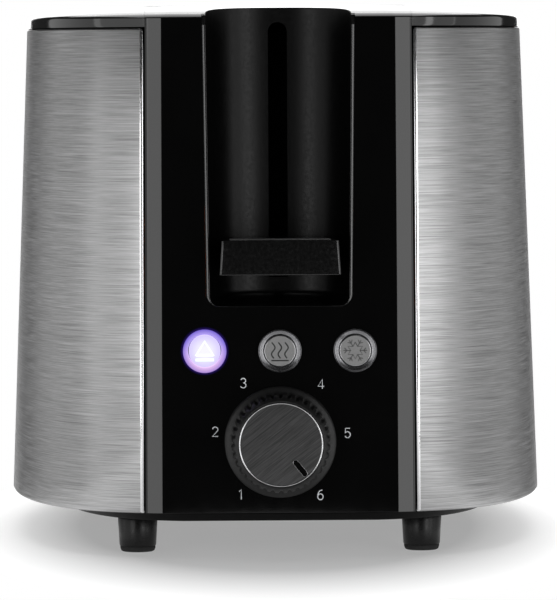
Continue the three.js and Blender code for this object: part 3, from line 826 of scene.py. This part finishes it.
def rear_panel():
    edge = PANEL_EDGE
    xs = [-edge + i * edge / 30 for i in range(61)]
    rows = []
    for z in (SKIRT_Z, SKIRT_Z + 0.5, 100, GROOVE_Z - 0.5, GROOVE_Z):
        lift = 0.4 if z in (SKIRT_Z, GROOVE_Z) else 0
        rows.append([place(leaned(x, z), outline_y(x) - lift, z) for x in xs])
    panel = surface("rear_panel", rows, GLOSS, 20, closed=False, caps=False)
    solidify(panel, PANEL_WALL, -wall_side(panel))
    boolean(panel, block("mouth", (-44, 120, 0), (44, 150, 24), GLOSS), angle=20)
    boolean(panel, turned("hole", INLET_X, INLET_Z, [(6.6, 130), (6.6, 150)], GLOSS, 48), angle=20)
    for row in range(5):
        for column in range(-3, 4):
            low = (column * 11 - 4, 138.8, 120 + row * 9)
            groove = block("groove", low, (column * 11 + 4, 150, 123 + row * 9), GLOSS)
            boolean(panel, groove, angle=20)
    finish_piece(panel, "housing", "gloss_black", "rear_panel")


def base_frame():
    levels = ((17.0, 0.965, 0.977), (15.05, 0.96, 0.975), (15.0, 0.84, 0.995), (12.9, 0.832, 0.99),
              (12.5, 0.828, 0.987))
    plan = outline(200)
    rows = [[place(x * wide, y * long, z) for x, y in plan] for z, wide, long in levels]
    base = surface("base_frame", rows, BASE_BLACK, 30)
    boolean(base, block("tray_way", (-44, -70, 15.3), (44, 160, 30), BASE_BLACK), angle=30)
    for sign in (-1, 1):
        rib = block("rib", (sign * 45 - 1, -70, 16), (sign * 45 + 1, 132, 22), BASE_BLACK)
        boolean(base, rib, "UNION", angle=30)
    for x in (-24.9, 24.9):
        for y in (-103.5, 100.8):
            boolean(base, upright("pocket", x, y, [(3.3, 5), (3.3, 14.2)], BASE_BLACK, 40), angle=30)
    for i in range(9):
        y = -52 + i * 13
        boolean(base, block("groove", (-30, y, 5), (30, y + 4, 13.6), BASE_BLACK), angle=30)
    finish_piece(base, "housing", "satin_black", "base_frame")


def feet():
    for name in ("front_left", "front_right", "rear_left", "rear_right"):
        low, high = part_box("foot_" + name)
        x = (low[0] + high[0]) / 2 / MM
        y = ((low[1] + high[1]) / 2 - MID_Y) / MM
        profile = [(6.0, 1.92), (6.3, 2.0), (6.45, 2.5), (6.95, 11.6), (6.7, 12.1), (6.2, 12.2)]
        foot = upright("foot_" + name, x, y, profile, FOOT_BLACK, 72, 40)
        finish_piece(foot, "housing", "satin_black", "foot_" + name)
        profile = [(5.2, 0.0), (5.8, 0.3), (6.1, 1.0), (6.2, 1.6), (6.1, 1.86)]
        pad = upright("foot_pad_" + name, x, y, profile, RUBBER, 64, 40)
        finish_piece(pad, "housing", "rubber", "foot_pad_" + name)


def lever_handle():
    """A tapered bar with crisp edges, a little wider at the bottom of its face."""
    levels = [(0.0, 0.28), (0.1, 0.08), (0.3, 0.0), (11.7, 0.0), (11.9, 0.06), (12.0, 0.3)]
    rings = []
    for up, tuck in levels:
        back = 15.4 - tuck
        rear = -122 - tuck * 0.4
        front = HANDLE_FRONT + tuck
        flat = 19.95 + 0.8 * (1 - up / 12) - tuck - HANDLE_CORNER
        turn_y = front + HANDLE_CORNER
        ring = [(back, rear), (-back, rear)]
        ring += arc(-flat, turn_y, HANDLE_CORNER, HANDLE_CORNER, 180, 270, 6)[:-1]
        ring += [(flat * (i / 6 - 1), front) for i in range(13)]
        ring += arc(flat, turn_y, HANDLE_CORNER, HANDLE_CORNER, 270, 360, 6)[1:]
        rings.append([place(x, y, HANDLE_BOTTOM + up) for x, y in ring])
    obj = surface("lever_handle", rings, HANDLE, 40)
    finish_piece(obj, "carriage", "gloss_black", "lever_handle")
    # painted sheen: a grey strip on the handle's top face stands in for the light that face reflects
    pad = block("lever_top_painted_sheen", (-17.3, -158.2, 110.3), (17.3, -147, 110.55), PAD_PAINTED_SHEEN)
    bevel(pad, 0.06, 2)
    finish_piece(pad, "carriage", "satin_black")


# ---------------------------------------------------------------- controls
def bezel_section():
    """Raised ring: outer lip, shallow groove, dished band, drop to the cap."""
    return [(5.75, -134), (5.75, -140.5), (5.8, -140.72), (6.1, -140.8), (6.95, -141.22), (7.02, -141.2),
            (7.06, -140.98), (7.14, -140.95), (7.2, -141.2), (7.3, -141.3), (7.42, -141.2), (7.5, -140.9),
            (7.5, -140.3), (6.3, -140.3), (6.3, -134)]


def button(name, x):
    """A bezel, a cap with its stem, a turned edge and an engraved sign; the cancel button is lit."""
    if name == "cancel":
        ring_look, cap_look, edge_look = RING_LIT, CAP_LIT, CAP_LIT
    else:
        ring_look, cap_look, edge_look = BEZEL_METAL, CAP_METAL, CAP_EDGE
    bezel = turned(name + "_bezel", x, BUTTON_Z, bezel_section(), ring_look, 128, 30, loop=True)
    finish_piece(bezel, "housing", "metal_ring", name + "_bezel")
    profile = [(0.05, -141.38), (5.0, -141.38), (5.1, -141.38), (5.1, -136), (2, -136), (2, -129.3),
               (0.05, -129.3)]
    cap = turned(name + "_button", x, BUTTON_Z, profile, cap_look, 128, 25)
    finish_piece(cap, name, "button_cap", name + "_button")
    profile = [(5.1, -141.36), (5.18, -141.44), (5.3, -141.42), (5.42, -141.28), (5.5, -141.0), (5.5, -136),
               (5.1, -136)]
    rim = turned(name + "_button_rim", x, BUTTON_Z, profile, edge_look, 128, 50, loop=True)
    finish_piece(rim, name, "button_cap")
    if name == "reheat":
        icon = stroke("reheat_icon", wave_lines(x), -141.4, 0.46, ICON_DARK, 0.08)
    elif name == "defrost":
        icon = stroke("defrost_icon", flake_lines(x), -141.4, 0.3, ICON_GREY, 0.08)
    else:
        icon = stroke("cancel_icon", eject_lines(x), -141.4, 1.0, ICON_LIT, 0.08)
        profile = [(7.55, -140.04), (9.2, -140.04), (9.2, -140.0), (7.55, -140.0)]
        glow = turned("cancel_glow", x, BUTTON_Z, profile, HALO, 128, 30, loop=True)
        finish_piece(glow, "housing", "gloss_black")
    finish_piece(icon, name, "button_cap")


def wave_lines(x):
    """Three rising waves over a bar."""
    lines = []
    for k in (-1, 0, 1):
        wave = []
        for i in range(25):
            share = i / 24
            sway = 0.6 * math.sin(2.4 * math.pi * share - 0.9)
            wave.append((x - 0.05 + k * 2.28 + sway, BUTTON_Z + 2.95 - 5.5 * share))
        lines.append(wave)
    lines.append([(x - 3.0, BUTTON_Z - 3.35), (x + 3.0, BUTTON_Z - 3.35)])
    return lines


def flake_lines(x):
    """A six-pointed star with a forked branch in each notch."""
    def polar(radius, degrees):
        turn = math.radians(degrees)
        return (x + radius * math.cos(turn), BUTTON_Z + radius * math.sin(turn))

    lines = [[polar(2.9 if k % 2 == 0 else 1.6, 90 + 30 * k) for k in range(13)]]
    for k in range(6):
        lines.append([polar(1.7, 60 * k), polar(4.1, 60 * k)])
        for bend in (-14, 14):
            lines.append([polar(2.9, 60 * k), polar(3.85, 60 * k + bend)])
    return lines


def eject_lines(x):
    """A triangle over a bar."""
    left, right, top = (x - 3.0, BUTTON_Z - 1.3), (x + 3.0, BUTTON_Z - 1.3), (x, BUTTON_Z + 3.4)
    bar = [(x - 3.2, BUTTON_Z - 2.95), (x + 3.2, BUTTON_Z - 2.95)]
    return [[left, right, top, left, right], bar]


def browning_knob():
    """A skirted knob with a knurled grip and a brushed face with a slot that points to the marks."""
    teeth = 36
    count = teeth * 10
    profile = [(19.3, -140.5, 0), (19.3, -142.0, 0), (19.1, -142.45, 0), (18.6, -142.75, 0),
               (17.6, -142.9, 0), (17.1, -143.2, 0), (16.9, -143.6, 1.0), (16.9, -151.6, 1.15),
               (16.75, -152.3, 1.0), (16.3, -153.1, 0.35), (15.8, -153.8, 0), (15.2, -154.5, 0),
               (14.95, -154.65, 0), (14.7, -154.6, 0), (14.7, -153.9, 0), (3.3, -153.9, 0),
               (3.3, -140.5, 0)]
    rings = []
    for radius, y, depth in profile:
        ring = []
        for i in range(count):
            turn = 2 * math.pi * i / count
            reach = radius - depth * max(0.0, math.cos(teeth * turn)) ** 0.8
            ring.append(place(reach * math.cos(turn), y, KNOB_Z + reach * math.sin(turn)))
        rings.append(ring)
    rings.append(rings[0])
    knob = surface("browning_knob", rings, KNOB_BLACK, 40, caps=False)
    finish_piece(knob, "knob", "knob_plastic", "browning_knob")

    profile = [(0.02, -154.78), (13.99, -154.78), (13.99, -154.0), (0.02, -154.0)]
    face = turned("knob_face", 0, KNOB_Z, profile, KNOB_METAL, 144, 20)
    boolean(face, pointer_cut(0.95, 2.4), angle=20)
    finish_piece(face, "knob", "knob_metal", "knob_face")
    profile = [(14.0, -154.74), (14.15, -154.86), (14.3, -154.88), (14.45, -154.76), (14.55, -154.45),
               (14.55, -154.0), (14.0, -154.0)]
    rim = turned("knob_face_rim", 0, KNOB_Z, profile, RIM_METAL, 144, 50, loop=True)
    finish_piece(rim, "knob", "knob_metal")
    # painted highlight: a thin light metal line laid flat round the pointer slot stands in for light caught
    # by its edge
    slot = pointer_path(0.95, 2.4)
    ring = stroke("pointer_painted_highlight", [slot + slot[:1]], -154.79, 0.1, CAP_EDGE, 0.06)
    finish_piece(ring, "knob", "knob_metal")
    inlay = pointer_cut(0.92, 2.38)
    inlay.name = "knob_pointer"
    inlay.data.materials.clear()
    inlay.data.materials.append(POINTER_BLACK)
    for vertex in inlay.data.vertices:
        if vertex.co.y < MID_Y - 154.1 * MM:
            vertex.co.y = MID_Y - 154.35 * MM
    finish_piece(inlay, "knob", "knob_plastic")


def pointer_path(half, reach):
    """An obround outline that points to the sixth mark."""
    path = arc(POINTER_REACH + reach, 0, half, half, -90, 90, 12)
    path += arc(POINTER_REACH - reach, 0, half, half, 90, 270, 12)
    aim = math.radians(POINTER_AIM)
    across, up = math.cos(aim), math.sin(aim)
    return [(u * across - v * up, KNOB_Z + u * up + v * across) for u, v in path]


def pointer_cut(half, reach):
    path = pointer_path(half, reach)
    return surface("pointer", [[place(x, y, z) for x, z in path] for y in (-156, -154.05)], KNOB_METAL, 30)


def seals():
    """Dark strips that close the seams between the panels and the side shells."""
    for side, sign in (("left", -1), ("right", 1)):
        for end, y in (("front", -136), ("rear", 136)):
            corners = []
            for z in (18, 181.5):
                x = leaned(sign * 46.95, z)
                plan = ((-0.2, -0.5), (0.2, -0.5), (0.2, 0.5), (-0.2, 0.5))
                corners.append([place(x + dx, y + dy, z) for dx, dy in plan])
            strip = surface("seam_seal_" + end + "_" + side, corners, RUBBER, 30)
            finish_piece(strip, "housing", "rubber")


def cap_gasket():
    """A dark strip inside the groove under the cap, open at the lever end."""
    rings = []
    for inset, z in ((2.3, 181.8), (2.3, 184.2), (2.9, 184.2), (2.9, 181.8), (2.3, 181.8)):
        path = [(x, y) for x, y in outline(240, inset) if y > -125]
        start = max(range(len(path)), key=lambda i: math.dist(path[i], path[i - 1]))
        path = path[start:] + path[:start]
        rings.append([place(leaned(x, z), y, z) for x, y in path])
    count = min(len(ring) for ring in rings)
    rings = [ring[:count] for ring in rings]
    verts, faces = skin(rings, closed=False, caps=False)
    faces += [tuple(r * count for r in range(4)), tuple(r * count + count - 1 for r in range(4))]
    finish_piece(make("cap_gasket", verts, faces, RUBBER, 30), "housing", "rubber")


def digit_lines(value):
    """Plain figures, 3.3 mm high, as single strokes."""
    if value == 1:
        return [[(-0.6, 1.05), (0.15, 1.65), (0.15, -1.65)]]
    if value == 2:
        return [arc(0, 0.75, 0.93, 0.9, 170, -32) + [(-0.95, -1.62), (0.98, -1.62)]]
    if value == 3:
        return [arc(-0.02, 0.86, 0.84, 0.79, 160, -85) + arc(-0.05, -0.78, 0.97, 0.87, 85, -160)]
    if value == 4:
        return [[(0.42, -1.65), (0.42, 1.62), (-1.05, -0.78), (1.05, -0.78)]]
    if value == 5:
        return [[(0.8, 1.62), (-0.68, 1.62), (-0.82, 0.12)] + arc(-0.02, -0.58, 0.95, 1.05, 138, -155)]
    return [arc(0, -0.62, 0.92, 1.02, 0, 360, 24), arc(0.42, -0.5, 1.34, 2.15, 176, 78)]


def digits():
    """Printed figures 1 to 6 round the dial, each at an angle and a distance from its middle."""
    marks = ((233, 22.9), (171, 22.8), (122, 24.0), (54.5, 24.4), (7, 23.4), (-53.5, 23.1))
    for value, (degrees, reach) in enumerate(marks, 1):
        cx = reach * math.cos(math.radians(degrees))
        cz = KNOB_Z + reach * math.sin(math.radians(degrees))
        lines = [[(cx + x, cz + z) for x, z in line] for line in digit_lines(value)]
        mark = stroke("dial_mark_" + str(value), lines, -140.03, 0.34, DIGIT_PAINT, 0.05)
        finish_piece(mark, "housing", "metal_ring")


# ---------------------------------------------------------------- rear and inside
def cord_inlet():
    """A collar and a ribbed, tapering sleeve, bored for a cord."""
    profile = [(6.2, 137), (6.2, 140.2), (8.7, 140.2), (9.0, 140.6), (9.0, 141.9), (8.7, 142.4),
               (7.2, 142.9), (6.2, 143.8), (5.7, 145), (5.9, 145.6), (5.3, 146.4), (5.5, 147.2),
               (4.9, 148), (5.1, 148.8), (4.8, 149.8), (4.5, 150), (3.5, 150), (3.3, 149.7),
               (3.3, 139), (0.05, 139)]
    sleeve = turned("cord_inlet", INLET_X, INLET_Z, profile, RUBBER, 96, 40)
    finish_piece(sleeve, "housing", "rubber", "cord_inlet")


def crumb_tray():
    pan = block("crumb_tray", (-43, -68, 15.6), (43, 137.4, 20), TRAY)
    boolean(pan, block("hollow", (-42.2, -67.2, 16.4), (42.2, 136.6, 30), TRAY))
    bevel(pan, 0.35, 2)
    finish_piece(pan, "tray", "tray_steel", "crumb_tray")
    front = block("tray_front", (-43.2, 137.6, 15.6), (43.2, 139.6, 23.6), GLOSS)
    bevel(front, 0.5, 3)
    finish_piece(front, "tray", "gloss_black")
    grip = block("tray_grip", (-26, 139.3, 17), (26, 148, 23.3), GLOSS)
    boolean(grip, block("scallop", (-24.5, 141, 10), (24.5, 146.8, 21.8), GLOSS))
    bevel(grip, 0.4, 3)
    finish_piece(grip, "tray", "gloss_black")


def heaters():
    """Four windowed cards, each with a flat ribbon that runs to and fro on its inner side."""
    cards = (("outer_left", -53, 1), ("inner_left", -5, -1), ("inner_right", 5, 1), ("outer_right", 53, -1))
    for name, x, face in cards:
        card = block("heater_" + name, (x - 0.55, -74, 46), (x + 0.55, 80, 166), MICA)
        for k in range(4):
            y = -52 + k * 36
            boolean(card, block("window", (x - 3, y, 60), (x + 3, y + 14, 152), MICA))
        finish_piece(card, "housing", "mica", "heater_" + name)
        path = []
        for k in range(17):
            ends = (-70, 76) if k % 2 else (76, -70)
            path += [(0, *place(0, y, 54 + k * 6.5).yz) for y in ends]
        middle = (x + face * 0.85) * MM
        ribbon = tube("ribbon_" + name, [path], 0.9 * MM, RIBBON, 1,
                      lambda spot: Vector((middle + spot.x * 0.3, spot.y, spot.z)))
        finish_piece(ribbon, "housing", "mica")


def spring():
    turns = 22
    low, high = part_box("return_spring")
    x, y = (low[0] + high[0]) / 2, (low[1] + high[1]) / 2
    bottom = low[2] + 0.6 * MM
    length = high[2] - low[2] - 1.2 * MM
    steps = turns * 20
    path = []
    for i in range(steps + 1):
        turn = 2 * math.pi * turns * i / steps
        spot = (x + 3.3 * MM * math.cos(turn), y + 3.3 * MM * math.sin(turn), bottom + length * i / steps)
        path.append(spot)
    wire = tube("return_spring_wire", [path], 0.45 * MM, WIRE, 3)
    smooth(wire, 60)
    finish_piece(wire, "housing", "zinc_wire", "return_spring")
    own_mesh(wire)


def dress_frame():
    """Materials for the CAD nodes that stay."""
    # the near-black sheet on the front bulkhead, rod bracket and carriage plate is painted shade
    looks = {
        "front_bulkhead": SLIT_SHADE_SHEET, "rear_bulkhead": SHEET, "left_reflector": SHEET,
        "right_reflector": SHEET, "rod_bracket": SLIT_SHADE_SHEET, "carriage_plate": SLIT_SHADE_SHEET,
        "lever_arm": DARK_PART, "magnet_keeper": SHEET, "knob_spindle": SHEET, "potentiometer": SHEET,
        "guide_rod_left": WIRE, "guide_rod_right": WIRE, "bread_rack_left": WIRE, "bread_rack_right": WIRE,
        "electromagnet": COPPER, "contact_block": DARK_PART, "control_board": BOARD,
        "cancel_switch": DARK_PART, "reheat_switch": DARK_PART, "defrost_switch": DARK_PART,
    }
    for name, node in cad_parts.items():
        if name.startswith("bread_guide") or name.startswith("base_screw"):
            looks[name] = WIRE
        if name in looks:
            node.data.materials.clear()
            node.data.materials.append(looks[name])


# ---------------------------------------------------------------- studio
def painted_floor_shadow_material():
    """Pale floor with a painted contact shadow: its glow is dimmest in an ellipse round the toaster and
    lightens outwards, so that its edge melts into the white room.
    """
    n = Nodes("painted_shadow_floor")
    painted_shadow_distance = n.vector("LENGTH", n.vector("MULTIPLY", n.coords, (1 / FLOOR_NARROW, 1, 1)))
    # painted shadow: the glow runs from 0.34 near the toaster to 0.95 at the rim, darkening the floor round
    # it
    glow = n.tint(n.ramp(painted_shadow_distance, 0, 1, 0.18, FLOOR_REACH), (0.34, 0.34, 0.34), (0.95, 0.95, 0.95), 0.0, 1.0)
    n.link(glow, n.shader.inputs["Emission Color"])
    n.color(n.tint(n.noise((3, 3, 3), 4), (0.52, 0.52, 0.52), (0.54, 0.54, 0.54)))
    n.rough(n.ramp(n.noise((40, 40, 40), 3), 0.75, 0.85))
    n.bump(n.noise((300, 300, 300), 3), 0.05, 0.05)
    n.set(glow=1.0, specular=0.2)
    return n.material


def studio():
    bpy.ops.mesh.primitive_circle_add(vertices=128, radius=FLOOR_REACH, fill_type="NGON")
    floor = bpy.context.object
    floor.name = "painted_shadow_floor"
    floor.data.transform(Matrix.Diagonal((FLOOR_NARROW, 1, 1, 1)))
    floor.data.materials.append(painted_floor_shadow_material())

    world = bpy.data.worlds.new("studio")
    bpy.context.scene.world = world
    world.use_nodes = True
    tree = world.node_tree
    tree.nodes.clear()
    out = tree.nodes.new("ShaderNodeOutputWorld")
    seen = tree.nodes.new("ShaderNodeBackground")
    seen.inputs["Color"].default_value = (1, 1, 1, 1)
    seen.inputs["Strength"].default_value = 1.0
    room = tree.nodes.new("ShaderNodeBackground")
    room.inputs["Color"].default_value = (1, 1, 1, 1)
    room.inputs["Strength"].default_value = ROOM_GLOW
    path = tree.nodes.new("ShaderNodeLightPath")
    mix = tree.nodes.new("ShaderNodeMixShader")
    tree.links.new(path.outputs["Is Camera Ray"], mix.inputs["Fac"])
    tree.links.new(room.outputs[0], mix.inputs[1])
    tree.links.new(seen.outputs[0], mix.inputs[2])
    tree.links.new(mix.outputs[0], out.inputs["Surface"])

    soft_box("strip_right", 29.7, 1.6, 0.0, (0.54, 1.3), 2.645)
    soft_box("strip_left", -29.4, 1.6, -0.05, (0.465, 1.15), 2.3)
    soft_box("accent_right", 57, 1.5, 0.0, (0.2, 1.4), 1.6)
    soft_box("fill_right", 63, 1.7, -0.1, (1.6, 1.6), 0.69)
    soft_box("fill_left", -65, 1.7, -0.1, (1.9, 1.6), 0.78)
    soft_box("side_right", 117, 1.7, -0.1, (2.0, 1.6), 0.455)
    soft_box("side_left", -117, 1.7, -0.1, (2.0, 1.6), 0.533)
    soft_box("backdrop", 180, 2.4, 0.55, (1.1, 1.7), 2.0)
    area_light("overhead", (0, 0.75, 1.6), (0, 0, 0.1), (1.5, 2.3), 1.8)


def area_light(name, spot, target, size, glow):
    """A rectangular light of a given radiance, in metres, that the camera doesn't see."""
    light = bpy.data.lights.new(name, "AREA")
    light.shape = "RECTANGLE"
    light.size, light.size_y = size
    light.energy = glow * math.pi * size[0] * size[1]
    obj = bpy.data.objects.new(name, light)
    bpy.context.collection.objects.link(obj)
    obj.location = spot
    obj.rotation_euler = (Vector(target) - Vector(spot)).to_track_quat("-Z", "Y").to_euler()
    obj.visible_camera = False


def soft_box(name, azimuth, distance, height, size, glow):
    """A light that stands round the lever end and faces the toaster. Azimuth 0 is straight in front."""
    turn = math.radians(azimuth)
    spot = (distance * math.sin(turn), FRONT - distance * math.cos(turn), height)
    area_light(name, spot, (0, 0, height), size, glow)


def camera():
    data = bpy.data.cameras.new("camera")
    data.sensor_width = 36
    data.lens = 304.5
    data.clip_start = 0.05
    data.clip_end = 100
    obj = bpy.data.objects.new("camera", data)
    bpy.context.collection.objects.link(obj)
    obj.location = CAMERA_SPOT
    tilt = Euler((math.radians(90 - CAMERA_TILT), 0, math.radians(CAMERA_YAW))).to_matrix()
    roll = Matrix.Rotation(math.radians(CAMERA_ROLL), 3, "Z")
    obj.rotation_euler = (tilt @ roll).to_euler()
    bpy.context.scene.camera = obj
    bpy.context.scene.view_settings.view_transform = "Standard"


camera()
side_shell(-1, "left_side_shell")
side_shell(1, "right_side_shell")
top_cover()
front_panel()
lever_channel()
rear_panel()
base_frame()
feet()
lever_handle()
for button_name, button_x in BUTTON_X.items():
    button(button_name, button_x)
browning_knob()
digits()
seals()
cap_gasket()
cord_inlet()
crumb_tray()
heaters()
spring()
dress_frame()
studio()
